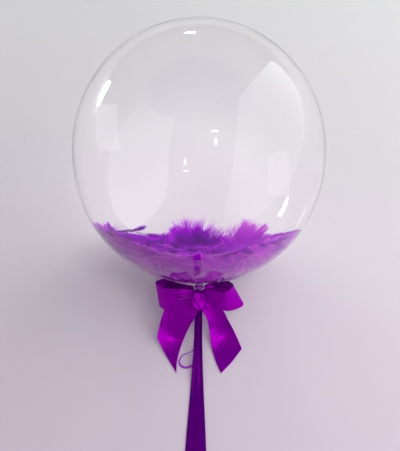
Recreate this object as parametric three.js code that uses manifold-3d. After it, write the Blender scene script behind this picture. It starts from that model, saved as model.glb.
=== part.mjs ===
// Clear bubble balloon with a satin bow and a long ribbon, lying on the floor.
// Millimetres, +Z up, floor at z = 0. The balloon rests on a small flat spot at the origin and its
// neck points to -Y, below the horizontal, so that the bow's tails and the ribbon reach the floor.
import * as THREE from "three";
import { mergeVertices } from "three/addons/utils/BufferGeometryUtils.js";
import Module from "manifold-3d";

const wasm = await Module();
wasm.setup();

// ---- driving dimensions ----
const BUBBLE_R = 252.6; // half width of the film
const BUBBLE_UP = 263; // centre to crown
const BUBBLE_DOWN = 266; // centre to the pole where the neck starts
const LOWER_FULLNESS = 2.1; // superellipse exponent of the lower half, 2 is a plain ellipse
const NECK_R = 7; // gathered film at the tie
const NECK_TOP = -275; // heights along the balloon's axis, from its centre
const NECK_END = -283;
const PLEATS = 12; // gathers of the film round the neck
const PLEAT_DEPTH = 0.07; // share of the local radius
const TILT = THREE.MathUtils.degToRad(38); // the neck's fall below the horizontal
const FLAT_SAG = 3.3; // how far the film is pressed flat where it rests

const RIBBON_W = 60; // satin ribbon of the bow and the streamer
const RIBBON_T = 0.8;
const KNOT = { u: -2, v: -305.5, w: 4, ru: 15, rv: 22, rw: 13 };

const STREAMER_T = 2; // the streamer lies folded lengthwise
const STREAMER_END = -652; // where its far end lies, world Y
const STREAMER_CUT = 26; // the slant of its end

const TIE_INNER = NECK_R + 0.4;
const TIE_OUTER = 10.4;
const TIE_TOP = -275.2;
const TIE_END = -281.8;
const CURL_D = 5; // curling ribbon, its width
const GAP = 0.3;

// ---- the film's outline, from the crown round to the neck: radius and height on the axis ----
function bubbleProfile() {
  const e = 2 / LOWER_FULLNESS;
  const points = [new THREE.Vector2(0, BUBBLE_UP)];
  const rows = 38;
  const last = THREE.MathUtils.degToRad(168);
  for (let i = 1; i <= rows; i++) {
    const a = (last * i) / rows;
    const lower = a > Math.PI / 2;
    points.push(
      new THREE.Vector2(
        BUBBLE_R * Math.sin(a) ** (lower ? e : 1),
        lower ? -BUBBLE_DOWN * (-Math.cos(a)) ** e : BUBBLE_UP * Math.cos(a),
      ),
    );
  }
  // the gathered film: its radius falls to the neck's over a short drop
  const from = points[points.length - 1];
  const steps = 6;
  for (let i = 1; i <= steps; i++) {
    const t = i / steps;
    points.push(
      new THREE.Vector2(
        from.x + (NECK_R - from.x) * (1 - (1 - t) ** 1.6),
        from.y + (NECK_TOP - from.y) * t ** 1.6,
      ),
    );
  }
  points.push(new THREE.Vector2(NECK_R, NECK_END));
  points.push(new THREE.Vector2(0, NECK_END));
  return points;
}

// the lowest point of the tilted outline stands over the origin, pressed FLAT_SAG into the floor
const lowest = bubbleProfile()
  .map((p) => ({
    y: p.y * Math.cos(TILT) + p.x * Math.sin(TILT),
    z: p.y * Math.sin(TILT) - p.x * Math.cos(TILT),
  }))
  .reduce((a, b) => (b.z < a.z ? b : a));
const CENTRE_Y = -lowest.y;
const CENTRE_Z = -lowest.z - FLAT_SAG;

// ---- frames and helpers ----
const place = new THREE.Matrix4()
  .makeRotationX(TILT)
  .setPosition(0, CENTRE_Y, CENTRE_Z);
// u across, v along the balloon's axis away from the neck, w out of its upper side
const P = (u, v, w) => new THREE.Vector3(u, v, w).applyMatrix4(place);
const smooth = (a, b, x) => {
  const t = Math.min(1, Math.max(0, (x - a) / (b - a)));
  return t * t * (3 - 2 * t);
};

function solidOf(geometry) {
  const g = geometry.index ? geometry.toNonIndexed() : geometry.clone();
  for (const name of Object.keys(g.attributes))
    if (name !== "position") g.deleteAttribute(name);
  const merged = mergeVertices(g, 1e-3);
  return new wasm.Manifold(
    new wasm.Mesh({
      numProp: 3,
      vertProperties: new Float32Array(merged.attributes.position.array),
      triVerts: new Uint32Array(merged.index.array),
    }),
  );
}

function geometryOf(solid) {
  const m = solid.getMesh();
  const v = new Float32Array(m.numVert * 3);
  for (let i = 0; i < m.numVert; i++)
    v.set(m.vertProperties.subarray(i * m.numProp, i * m.numProp + 3), i * 3);
  const g = new THREE.BufferGeometry()
    .setAttribute("position", new THREE.BufferAttribute(v, 3))
    .setIndex(new THREE.BufferAttribute(new Uint32Array(m.triVerts), 1));
  g.computeVertexNormals();
  return g;
}

// A closed sheet solid over a grid of points: surface(i, j) for i rows along and j columns across.
function sheetSolid(surface, rows, cols, thick) {
  const at = [];
  for (let i = 0; i <= rows; i++) {
    at.push([]);
    for (let j = 0; j <= cols; j++) at[i].push(surface(i / rows, j / cols));
  }
  const positions = [];
  const index = [];
  const id = (side, i, j) => side * (rows + 1) * (cols + 1) + i * (cols + 1) + j;
  for (const side of [1, -1])
    for (let i = 0; i <= rows; i++)
      for (let j = 0; j <= cols; j++) {
        const along = new THREE.Vector3().subVectors(
          at[Math.min(rows, i + 1)][j],
          at[Math.max(0, i - 1)][j],
        );
        const across = new THREE.Vector3().subVectors(
          at[i][Math.min(cols, j + 1)],
          at[i][Math.max(0, j - 1)],
        );
        const n = across.cross(along).normalize();
        const p = at[i][j].clone().addScaledVector(n, (side * thick) / 2);
        positions.push(p.x, p.y, p.z);
      }
  const quad = (a, b, c, d) => index.push(a, b, c, a, c, d);
  for (let i = 0; i < rows; i++)
    for (let j = 0; j < cols; j++) {
      quad(id(0, i, j), id(0, i, j + 1), id(0, i + 1, j + 1), id(0, i + 1, j));
      quad(id(1, i, j), id(1, i + 1, j), id(1, i + 1, j + 1), id(1, i, j + 1));
    }
  for (let i = 0; i < rows; i++) {
    quad(id(0, i, 0), id(0, i + 1, 0), id(1, i + 1, 0), id(1, i, 0));
    quad(id(0, i + 1, cols), id(0, i, cols), id(1, i, cols), id(1, i + 1, cols));
  }
  for (let j = 0; j < cols; j++) {
    quad(id(0, 0, j + 1), id(0, 0, j), id(1, 0, j), id(1, 0, j + 1));
    quad(id(0, rows, j), id(0, rows, j + 1), id(1, rows, j + 1), id(1, rows, j));
  }
  const g = new THREE.BufferGeometry()
    .setAttribute("position", new THREE.Float32BufferAttribute(positions, 3))
    .setIndex(index);
  return solidOf(g);
}

// ---- the balloon: film, gathered neck and flat spot ----
function balloonSolid() {
  const g = new THREE.LatheGeometry(bubbleProfile().reverse(), 60);
  const p = g.attributes.position;
  for (let i = 0; i < p.count; i++) {
    const x = p.getX(i);
    const z = p.getZ(i);
    const y = p.getY(i);
    const share =
      smooth(-225, -262, y) * (1 - smooth(-266, -273, y)) * PLEAT_DEPTH;
    const k = 1 + share * Math.cos(PLEATS * Math.atan2(z, x));
    p.setXYZ(i, x * k, y, z * k);
  }
  g.applyMatrix4(place);
  const floor = new THREE.BoxGeometry(400, 400, 100);
  floor.translate(0, 0, -50);
  return solidOf(g).subtract(solidOf(floor));
}

// ---- the satin bow ----
// Each station gives the two edges of the ribbon; a smooth curve runs through them.
function ribbonSurface(stations, cup, ends = [1, 1]) {
  const curve = (k) =>
    new THREE.CatmullRomCurve3(
      stations.map((s) => new THREE.Vector3(...s[k])),
      false,
      "centripetal",
    );
  const a = curve(0);
  const b = curve(1);
  return (s, t) => {
    const at = s * (ends[0] + (ends[1] - ends[0]) * t);
    const p = a.getPoint(at);
    const q = b.getPoint(at);
    const side = q.clone().sub(p).normalize();
    const ahead = a
      .getPoint(Math.min(1, at + 0.02))
      .add(b.getPoint(Math.min(1, at + 0.02)))
      .sub(a.getPoint(Math.max(0, at - 0.02)))
      .sub(b.getPoint(Math.max(0, at - 0.02)));
    const n = side.cross(ahead).normalize();
    const bulge = cup * Math.sin(Math.PI * at) * (1 - (2 * t - 1) ** 2);
    const m = p.lerp(q, t).addScaledVector(n, bulge);
    const world = P(m.x, m.y, m.z);
    world.z = Math.max(world.z, GAP + RIBBON_T); // it lies on the floor
    return world;
  };
}

// top edge, bottom edge; from the knot along the front, round the fold and back behind
const LEFT_LOOP = [
  [[-10, -283, 12], [-10, -300, 8]],
  [[-42, -279, 22], [-44, -304, 8]],
  [[-71, -276, 25], [-68, -326, 1]],
  [[-88, -266, 14], [-82, -317, -13]],
  [[-73, -262, 0], [-68, -308, -25]],
  [[-42, -271, -6], [-42, -303, -20]],
  [[-10, -278, -2], [-10, -300, -7]],
];
const RIGHT_LOOP = [
  [[7, -285, 12], [8, -304, 8]],
  [[30, -283, 23], [33, -319, 8]],
  [[54, -284, 28], [60, -328, 2]],
  [[69, -272, 14], [91, -318, -12]],
  [[57, -265, 2], [81, -306, -24]],
  [[31, -268, -6], [45, -305, -24]],
  [[7, -277, -2], [8, -300, -7]],
];
// left edge, right edge; from the knot to the cut end
const LEFT_TAIL = [
  [[-12, -300, 7], [0, -312, 4]],
  [[-46, -306, 3], [-3, -328, 2]],
  [[-67, -320, -2], [-8, -342, -4]],
  [[-77, -345, -5], [-20, -365, -12]],
  [[-83, -370, -10], [-31, -390, -15]],
  [[-86, -390, -8], [-40, -413, -2.7]],
  [[-85, -416, 6.5], [-45, -432, 11.2]],
  [[-80, -440, 21], [-46, -452, 26.8]],
];
const RIGHT_TAIL = [
  [[-3, -310, 5], [8, -302, 7]],
  [[3, -322, 4], [34, -309, 6]],
  [[9, -332, 1], [50, -328, 0]],
  [[17, -350, -5], [60, -349, -6]],
  [[21.5, -376, -15], [73, -376, -17]],
  [[26, -406, -6.5], [86, -404, -7]],
  [[35.5, -434, 13], [95, -427, 11]],
  [[45, -452, 27], [104, -446, 23.5]],
];

function knotSolid() {
  const g = new THREE.SphereGeometry(1, 20, 14);
  const p = g.attributes.position;
  for (let i = 0; i < p.count; i++) {
    const x = p.getX(i);
    const y = p.getY(i);
    const z = p.getZ(i);
    const fold = 1 + 0.06 * Math.cos(5 * Math.atan2(z, x)) * (1 - y * y);
    // squarer than an ellipsoid, as a wrapped ribbon is
    const q = (Math.abs(x) ** 3 + Math.abs(y) ** 3 + Math.abs(z) ** 3) ** (-1 / 3);
    p.setXYZ(
      i,
      KNOT.u + x * q * fold * KNOT.ru,
      KNOT.v + y * q * KNOT.rv,
      KNOT.w + z * q * fold * KNOT.rw,
    );
  }
  g.applyMatrix4(place);
  return solidOf(g);
}

// A round bar along the balloon's axis, which the neck passes through.
function axisBar(radius, top, end) {
  const g = new THREE.CylinderGeometry(radius, radius, top - end, 24);
  g.translate(0, (top + end) / 2, 0);
  g.applyMatrix4(place);
  return solidOf(g);
}

function bowSolid() {
  const loop = (stations) =>
    sheetSolid(ribbonSurface(stations, 0), 26, 4, RIBBON_T);
  const tail = (stations, cup, ends) =>
    sheetSolid(ribbonSurface(stations, cup, ends), 15, 4, RIBBON_T);
  const bow = knotSolid()
    .add(loop(LEFT_LOOP))
    .add(loop(RIGHT_LOOP))
    .add(tail(LEFT_TAIL, 5, [0.7, 1]))
    .add(tail(RIGHT_TAIL, 5, [1, 0.74]));
  // the neck ends inside the knot, and the loops pass round its tie
  return bow
    .subtract(axisBar(NECK_R + GAP + 0.2, -260, NECK_END - GAP - 0.2))
    .subtract(axisBar(TIE_OUTER + GAP + 0.2, -260, TIE_END - GAP));
}

// ---- the long ribbon, from under the knot down to the floor and along it ----
const knotFoot = P(0, KNOT.v - KNOT.rv - 1.5, -7);
const STREAMER_WAY = [
  // world Y, world Z of its middle
  [knotFoot.y, knotFoot.z],
  [-254, 42],
  [-272, 31],
  [-296, 21.5],
  [-320, 14.8],
  [-345, 9.4],
  [-368, 5],
  [-388, 2.2],
  [-410, GAP + STREAMER_T / 2],
  [-470, GAP + STREAMER_T / 2],
  [-560, GAP + STREAMER_T / 2],
  [STREAMER_END, GAP + STREAMER_T / 2],
];
function streamerSurface() {
  const way = new THREE.CatmullRomCurve3(
    STREAMER_WAY.map(([y, z]) => new THREE.Vector3(0, y, z)),
    false,
    "centripetal",
  );
  const floorZ = GAP + STREAMER_T / 2;
  return (s, t) => {
    const end = 1 - (STREAMER_CUT / 400) * (1 - t);
    const c = way.getPointAt(s * end);
    const run = (knotFoot.y - c.y) / (knotFoot.y - STREAMER_END);
    const width = 16 + 38 * smooth(0, 0.95, run);
    const mid = -1 - 8 * run;
    const z = run > 0.45 ? floorZ : Math.max(c.z, floorZ);
    return new THREE.Vector3(mid + width * (t - 0.5), c.y, z);
  };
}

// ---- the curling ribbon: the tie round the neck and its free end ----
function tieGeometry() {
  const r = 1.2;
  const outline = [];
  for (const [x, y, a0] of [
    [TIE_OUTER - r, TIE_TOP - r, 90],
    [TIE_OUTER - r, TIE_END + r, 0],
  ])
    for (let i = 0; i <= 4; i++) {
      const a = THREE.MathUtils.degToRad(a0 - (90 * i) / 4);
      outline.push(
        new THREE.Vector2(x + r * Math.cos(a), y + r * Math.sin(a)),
      );
    }
  outline.push(new THREE.Vector2(TIE_INNER, TIE_END));
  outline.push(new THREE.Vector2(TIE_INNER, TIE_TOP));
  outline.push(outline[0].clone());
  const g = new THREE.LatheGeometry(outline.reverse(), 28);
  g.applyMatrix4(place);
  return g;
}

const CURL_Z = CURL_D / 2 + 0.6;
const CURL_WAY = [
  P(-2, -278.5, -TIE_OUTER - GAP),
  P(-2.5, -280, -18),
  P(-4, -287, -29),
  P(-6, -301, -41),
  P(-7, -318, -51),
  P(-6.5, -334, -56.5),
  ...[
    [-6, -236, 1.4],
    [-5.5, -250, 0.2],
    [-5, -268],
    [-4, -288],
    [-7, -306],
    [-18, -316.5],
    [-30, -321.5],
    [-38, -329.5],
    [-40.5, -340],
    [-36.5, -348.5],
    [-27.5, -351.5],
    [-17, -349],
    [-5, -342],
    [4, -332],
  ].map(([x, y, up = 0]) => new THREE.Vector3(x, y, CURL_Z + up)),
];
function curlGeometry() {
  const way = new THREE.CatmullRomCurve3(CURL_WAY, false, "centripetal");
  const section = new THREE.Shape();
  for (let i = 0; i < 8; i++) {
    const a = ((i + 0.5) / 8) * 2 * Math.PI;
    const x = (CURL_D / 2) * Math.cos(a);
    const y = (CURL_D / 2) * Math.sin(a);
    if (i) section.lineTo(x, y);
    else section.moveTo(x, y);
  }
  section.closePath();
  return new THREE.ExtrudeGeometry(section, {
    steps: 30,
    extrudePath: way,
    curveSegments: 1,
  });
}

// ---- the scene graph ----
const mesh = (name, geometry, colour, roughness, metalness, opacity = 1) => {
  const m = new THREE.Mesh(
    geometry,
    new THREE.MeshStandardMaterial({
      color: colour,
      roughness,
      metalness,
      opacity,
      transparent: opacity < 1,
    }),
  );
  m.name = name;
  return m;
};

const root = new THREE.Group();
root.name = "clear_bubble_balloon";
root.add(
  mesh("balloon", geometryOf(balloonSolid()), 0xe8e6ec, 0.05, 0, 0.3),
  mesh("satin_bow", geometryOf(bowSolid()), 0x7a0bb0, 0.35, 0),
  mesh(
    "long_ribbon",
    geometryOf(sheetSolid(streamerSurface(), 26, 3, STREAMER_T)),
    0x55067f,
    0.35,
    0,
  ),
  mesh("neck_tie", tieGeometry(), 0x8a2fc0, 0.3, 0),
  mesh("curling_ribbon", curlGeometry(), 0xa03fd6, 0.3, 0),
);
root.userData.ribbonWidth = RIBBON_W;

export default root;
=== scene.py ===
import math

import bpy
import numpy as np
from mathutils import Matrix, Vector


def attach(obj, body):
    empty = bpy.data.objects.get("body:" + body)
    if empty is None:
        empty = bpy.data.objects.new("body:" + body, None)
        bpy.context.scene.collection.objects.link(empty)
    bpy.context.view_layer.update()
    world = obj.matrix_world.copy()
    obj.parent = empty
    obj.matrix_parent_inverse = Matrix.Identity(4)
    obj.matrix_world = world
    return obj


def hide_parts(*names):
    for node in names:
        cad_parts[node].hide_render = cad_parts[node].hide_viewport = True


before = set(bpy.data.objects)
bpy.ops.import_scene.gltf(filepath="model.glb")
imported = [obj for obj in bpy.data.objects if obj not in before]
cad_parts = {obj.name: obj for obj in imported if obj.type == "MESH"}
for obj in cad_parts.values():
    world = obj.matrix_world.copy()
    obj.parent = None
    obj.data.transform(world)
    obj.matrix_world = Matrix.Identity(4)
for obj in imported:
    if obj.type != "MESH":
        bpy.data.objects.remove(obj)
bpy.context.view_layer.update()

scene = bpy.context.scene
rng = np.random.default_rng(20)

# ---- the balloon's own frame: u to the right, v up its axis, w towards the viewer ----
TILT = math.radians(38.0)
COS, SIN = math.cos(TILT), math.sin(TILT)
CENTRE_Y, CENTRE_Z = 9.0485, 258.5514
BUBBLE_R, BUBBLE_UP, BUBBLE_DOWN = 252.6, 263.0, 266.0
FULL = 2 / 2.1
NECK_R, NECK_TOP, NECK_END = 7.0, -275.0, -283.0
TIE_TOP, TIE_END, TIE_INNER, TIE_OUTER = -275.2, -281.8, 7.4, 10.4
FLOOR = 0.0


def P(u, v, w):
    """A point of the balloon's own frame, in millimetres, to the row frame, in metres."""
    u, v, w = np.broadcast_arrays(*(np.asarray(x, float) for x in (u, v, w)))
    return (
        np.stack([u, CENTRE_Y + COS * v - SIN * w, CENTRE_Z + SIN * v + COS * w], -1)
        / 1000
    )


def smooth(a, b, x):
    t = np.clip((np.asarray(x, float) - a) / (b - a), 0, 1)
    return t * t * (3 - 2 * t)


def unit(a):
    return a / np.maximum(np.linalg.norm(a, axis=-1, keepdims=True), 1e-12)


def over_floor(z, low, k):
    """z kept above low, turning smoothly."""
    return 0.5 * (z + low + np.sqrt((z - low) ** 2 + k * k))


# ---- the camera: azimuth 0, 60 degrees above the horizon ----
RIGHT = np.array([1.0, 0, 0])
UP = np.array([0, math.cos(math.radians(30)), 0.5])
BACK = np.array([0, -0.5, math.cos(math.radians(30))])
DISTANCE = 2.4
AIM = P(2, 0, 0) - 0.151 * UP
cam_data = bpy.data.cameras.new("camera")
cam_data.sensor_width = 36
cam_data.lens = 36 * DISTANCE / 0.902
cam_data.clip_start, cam_data.clip_end = 0.05, 60
camera = bpy.data.objects.new("camera", cam_data)
camera.location = AIM + DISTANCE * BACK
camera.rotation_euler = (math.radians(30), 0, 0)
scene.collection.objects.link(camera)
scene.camera = camera


# ---- curves ----
class Way:
    """A centripetal Catmull-Rom curve through points."""

    def __init__(self, points):
        self.p = np.array(points, float)
        t = np.linspace(0, 1, 401)
        q = self.at(t)
        self.s = np.concatenate([[0], np.cumsum(np.linalg.norm(np.diff(q, axis=0), axis=1))])
        self.t = t
        self.length = self.s[-1]

    def at(self, t):
        p = self.p
        n = len(p)
        t = np.clip(np.atleast_1d(np.asarray(t, float)), 0, 1)
        x = (n - 1) * t
        i = np.minimum(np.floor(x).astype(int), n - 2)
        f = (x - i)[:, None]
        p1, p2 = p[i], p[i + 1]
        p0 = np.where((i > 0)[:, None], p[np.maximum(i - 1, 0)], 2 * p[0] - p[1])
        p3 = np.where((i + 2 < n)[:, None], p[np.minimum(i + 2, n - 1)], 2 * p[-1] - p[-2])
        d = lambda a, b: np.maximum(((a - b) ** 2).sum(1) ** 0.25, 1e-4)[:, None]
        d0, d1, d2 = d(p0, p1), d(p1, p2), d(p2, p3)
        a = ((p1 - p0) / d0 - (p2 - p0) / (d0 + d1) + (p2 - p1) / d1) * d1
        b = ((p2 - p1) / d1 - (p3 - p1) / (d1 + d2) + (p3 - p2) / d2) * d1
        return p1 + a * f + (3 * (p2 - p1) - 2 * a - b) * f**2 + (2 * (p1 - p2) + a + b) * f**3

    def even(self, s):
        """Points at shares s of its length."""
        return self.at(np.interp(np.asarray(s) * self.length, self.s, self.t))


# ---- meshes ----
def build(name, parts, material, slot, attributes=None, smooth_faces=True):
    """One mesh object from (vertices in metres, faces, uv per vertex) parts."""
    verts, faces, uvs, n = [], [], [], 0
    for v, f, uv in parts:
        verts.append(np.asarray(v, float).reshape(-1, 3))
        uvs.append(np.asarray(uv, float).reshape(-1, 2))
        faces.extend([tuple(int(k) + n for k in q) for q in f])
        n += len(verts[-1])
    verts, uvs = np.concatenate(verts), np.concatenate(uvs)
    mesh = bpy.data.meshes.new(name)
    mesh.from_pydata(verts.tolist(), [], faces)
    layer = mesh.uv_layers.new(name="UVMap")
    loop_vert = np.empty(len(mesh.loops), np.int32)
    mesh.loops.foreach_get("vertex_index", loop_vert)
    layer.data.foreach_set("uv", uvs[loop_vert].astype(np.float32).ravel())
    for key, values in (attributes or {}).items():
        a = mesh.attributes.new(key, "FLOAT", "POINT")
        a.data.foreach_set("value", np.asarray(values, np.float32))
    mesh.polygons.foreach_set("use_smooth", [smooth_faces] * len(mesh.polygons))
    mesh.update()
    obj = bpy.data.objects.new(name, mesh)
    scene.collection.objects.link(obj)
    mesh.materials.append(material)
    if slot:
        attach(obj, "root")
    return obj


def grid(rows, cols, flip=False, wrap=False, start=0):
    """Quads of a rows x cols grid of vertices."""
    i, j = np.meshgrid(np.arange(rows - 1), np.arange(cols if wrap else cols - 1), indexing="ij")
    k = (j + 1) % cols
    q = np.stack([i * cols + j, i * cols + k, (i + 1) * cols + k, (i + 1) * cols + j], -1).reshape(-1, 4) + start
    return q[:, ::-1] if flip else q


def normals_of(s):
    a = np.gradient(s, axis=0)
    b = np.gradient(s, axis=1)
    return unit(np.cross(a, b))


def cloth(s, thick, uv):
    """A closed sheet of that thickness round a grid of points, in metres."""
    n = normals_of(s)
    rows, cols = s.shape[:2]
    edge = np.ones((rows, cols, 1))
    edge[:, [0, -1]] = 0.6
    a, b = s + n * thick / 2 * edge, s - n * thick / 2 * edge
    m = rows * cols
    faces = [grid(rows, cols), grid(rows, cols, flip=True, start=m)]
    top = lambda i, j: i * cols + j
    for i in range(rows - 1):
        faces.append([[top(i + 1, 0), top(i + 1, 0) + m, top(i, 0) + m, top(i, 0)]])
        faces.append([[top(i, cols - 1), top(i, cols - 1) + m, top(i + 1, cols - 1) + m, top(i + 1, cols - 1)]])
    for j in range(cols - 1):
        faces.append([[top(0, j), top(0, j) + m, top(0, j + 1) + m, top(0, j + 1)]])
        faces.append([[top(rows - 1, j + 1), top(rows - 1, j + 1) + m, top(rows - 1, j) + m, top(rows - 1, j)]])
    return np.concatenate([a.reshape(-1, 3), b.reshape(-1, 3)]), np.concatenate([np.asarray(f) for f in faces]), np.concatenate([uv.reshape(-1, 2)] * 2)


def area_of(obj):
    return sum(p.area for p in obj.data.polygons)


# ---- node materials ----
class Nodes:
    def __init__(self, name):
        self.m = bpy.data.materials.new(name)
        self.m.use_nodes = True
        self.t = self.m.node_tree
        self.b = next(n for n in self.t.nodes if n.type == "BSDF_PRINCIPLED")
        self.out = next(n for n in self.t.nodes if n.type == "OUTPUT_MATERIAL")

    def new(self, kind, **settings):
        n = self.t.nodes.new(kind)
        for k, v in settings.items():
            setattr(n, k, v)
        return n

    def link(self, a, b):
        self.t.links.new(a, b)

    def set(self, **values):
        for k, v in values.items():
            self.b.inputs[k.replace("_", " ")].default_value = v

    def noise(self, scale, detail=3, rough=0.5, source=None, stretch=None):
        n = self.new("ShaderNodeTexNoise")
        n.inputs["Scale"].default_value = scale
        n.inputs["Detail"].default_value = detail
        n.inputs["Roughness"].default_value = rough
        c = source or self.new("ShaderNodeTexCoord").outputs["Object"]
        if stretch:
            g = self.new("ShaderNodeMapping")
            g.inputs["Scale"].default_value = stretch
            self.link(c, g.inputs["Vector"])
            c = g.outputs["Vector"]
        self.link(c, n.inputs["Vector"])
        return n.outputs["Fac"]

    def ramp(self, fac, stops):
        r = self.new("ShaderNodeValToRGB")
        e = r.color_ramp.elements
        while len(e) < len(stops):
            e.new(0.5)
        for k, (at, colour) in zip(e, stops):
            k.position = at
            k.color = (*colour, 1) if len(colour) == 3 else colour
        self.link(fac, r.inputs["Fac"])
        return r.outputs["Color"]

    def math(self, op, a, b):
        m = self.new("ShaderNodeMath", operation=op)
        for k, x in enumerate((a, b)):
            if isinstance(x, (int, float)):
                m.inputs[k].default_value = x
            else:
                self.link(x, m.inputs[k])
        return m.outputs[0]

    def mix(self, fac, a, b, blend="MIX"):
        m = self.new("ShaderNodeMix", data_type="RGBA", blend_type=blend)
        for k, x in (("Factor", fac), ("A", a), ("B", b)):
            socket = next(i for i in m.inputs if i.name == k and i.enabled)
            if isinstance(x, (int, float)):
                socket.default_value = x
            elif isinstance(x, tuple):
                socket.default_value = (*x, 1)
            else:
                self.link(x, socket)
        return next(o for o in m.outputs if o.enabled)

    def bump(self, height, strength, distance, normal=None):
        n = self.new("ShaderNodeBump")
        n.inputs["Strength"].default_value = strength
        n.inputs["Distance"].default_value = distance
        self.link(height, n.inputs["Height"])
        if normal is not None:
            self.link(normal, n.inputs["Normal"])
        return n.outputs["Normal"]


def film_material():
    k = Nodes("clear_film")
    k.set(Base_Color=(1.0, 0.995, 1.0, 1), Roughness=0.0, IOR=FILM_IOR)
    k.b.inputs["Transmission Weight"].default_value = 1.0
    n = k.noise(7.0, 2, 0.4)
    fine = k.noise(55.0, 2, 0.5)
    b = k.bump(n, 0.10, 0.010)
    k.link(k.bump(fine, 0.04, 0.0012, b), k.b.inputs["Normal"])
    return k.m


def satin_material(name, dark, light, shine, gloss):
    k = Nodes(name)
    uv = k.new("ShaderNodeTexCoord").outputs["UV"]
    # long floats over fine wefts: streaks along the ribbon, ribs across it
    along = k.noise(900.0, 2, 0.6, uv, (1.0, 0.04, 1.0))
    across = k.new("ShaderNodeTexWave", wave_type="BANDS", bands_direction="Y", wave_profile="SIN")
    across.inputs["Scale"].default_value = 210.0
    across.inputs["Distortion"].default_value = 1.2
    across.inputs["Detail"].default_value = 1.0
    across.inputs["Detail Scale"].default_value = 3.0
    k.link(uv, across.inputs["Vector"])
    broad = k.noise(26.0, 3, 0.55)
    colour = k.ramp(broad, [(0.30, dark), (0.72, light)])
    streak = k.ramp(along, [(0.30, (0.86, 0.86, 0.86)), (0.70, (1, 1, 1))])
    colour = k.mix(1.0, colour, streak, "MULTIPLY")
    # the woven edges are a little denser
    sep = k.new("ShaderNodeSeparateXYZ")
    k.link(uv, sep.inputs[0])
    off = k.math("ABSOLUTE", k.math("SUBTRACT", sep.outputs["X"], 0.030), 0.0)
    edge = k.ramp(off, [(0.0285, (1, 1, 1)), (0.0295, (0.62, 0.55, 0.70))])
    colour = k.mix(1.0, colour, edge, "MULTIPLY")
    k.link(colour, k.b.inputs["Base Color"])
    k.set(Roughness=0.55)
    k.b.inputs["Specular IOR Level"].default_value = 0.0
    # the long floats reflect in the thread's own colour
    floats = k.new("ShaderNodeBsdfPrincipled")
    k.link(k.mix(1.0, streak, shine, "MULTIPLY"), floats.inputs["Base Color"])
    floats.inputs["Metallic"].default_value = 1.0
    floats.inputs["Roughness"].default_value = SATIN_ROUGH
    floats.inputs["Anisotropic"].default_value = 0.55
    floats.inputs["Anisotropic Rotation"].default_value = SATIN_TURN
    tangent = k.new("ShaderNodeTangent", direction_type="UV_MAP", uv_map="UVMap")
    k.link(tangent.outputs[0], floats.inputs["Tangent"])
    blend = k.new("ShaderNodeMixShader")
    blend.inputs[0].default_value = gloss
    k.link(k.b.outputs[0], blend.inputs[1])
    k.link(floats.outputs[0], blend.inputs[2])
    k.link(blend.outputs[0], k.out.inputs["Surface"])
    b = k.bump(across.outputs["Fac"], 0.05, 0.00008)
    b = k.bump(along, 0.06, 0.00012, b)
    crumple = k.noise(60.0, 2, 0.5)
    b = k.bump(crumple, 0.10, 0.0012, b)
    k.link(b, k.b.inputs["Normal"])
    k.link(b, floats.inputs["Normal"])
    return k.m


SATIN_ROUGH, SATIN_TURN = 0.34, 0.0
FILM_IOR, FILM_THICK = 1.30, 0.15


def curl_material():
    k = Nodes("curling_ribbon")
    uv = k.new("ShaderNodeTexCoord").outputs["UV"]
    ribs = k.new("ShaderNodeTexWave", wave_type="BANDS", bands_direction="X", wave_profile="SIN")
    ribs.inputs["Scale"].default_value = 600.0
    k.link(uv, ribs.inputs["Vector"])
    n = k.noise(300.0, 2, 0.5)
    k.link(k.ramp(n, [(0.3, (0.42, 0.012, 0.66)), (0.7, (0.58, 0.04, 0.82))]), k.b.inputs["Base Color"])
    k.set(Roughness=0.22, Metallic=0.15)
    k.link(k.bump(ribs.outputs["Fac"], 0.25, 0.00010), k.b.inputs["Normal"])
    return k.m


def feather_material(name, root, mid, tip):
    """Barbs: darker by the shaft, lighter and thinner at the tips."""
    k = Nodes(name)
    uv = k.new("ShaderNodeTexCoord").outputs["UV"]
    sep = k.new("ShaderNodeSeparateXYZ")
    k.link(uv, sep.inputs[0])
    along = k.ramp(sep.outputs["X"], [(0.0, root), (0.45, mid), (1.0, tip)])
    vary = k.ramp(sep.outputs["Y"], [(0.0, (0.80, 0.70, 0.86)), (1.0, (1, 1, 1))])
    n = k.ramp(k.noise(420.0, 3, 0.6), [(0.25, (0.84, 0.78, 0.87)), (0.75, (1, 1, 1))])
    colour = k.mix(1.0, k.mix(1.0, along, vary, "MULTIPLY"), n, "MULTIPLY")
    k.link(colour, k.b.inputs["Base Color"])
    k.set(Roughness=0.62)
    k.b.inputs["Specular IOR Level"].default_value = 0.04
    k.b.inputs["Sheen Weight"].default_value = 0.08
    k.b.inputs["Sheen Roughness"].default_value = 0.4
    k.b.inputs["Sheen Tint"].default_value = (0.9, 0.15, 1.0, 1)
    thin = k.new("ShaderNodeBsdfTranslucent")
    k.link(colour, thin.inputs["Color"])
    blend = k.new("ShaderNodeMixShader")
    blend.inputs[0].default_value = 0.42
    k.link(k.b.outputs[0], blend.inputs[1])
    k.link(thin.outputs[0], blend.inputs[2])
    k.link(blend.outputs[0], k.out.inputs["Surface"])
    return k.m


film_mat = film_material()
satin_mat = satin_material("satin", (0.036, 0.0, 0.155), (0.062, 0.0, 0.215), (0.92, 0.0, 1.0), 0.40)
# a copy of the satin with much less shine, for the long ribbon: painted shade, as that ribbon lies in shade under the
# bow
satin_shaded = satin_material("satin_shaded", (0.050, 0.0, 0.14), (0.070, 0.0, 0.18), (0.50, 0.0, 0.62), 0.18)
curl_mat = curl_material()


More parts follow.
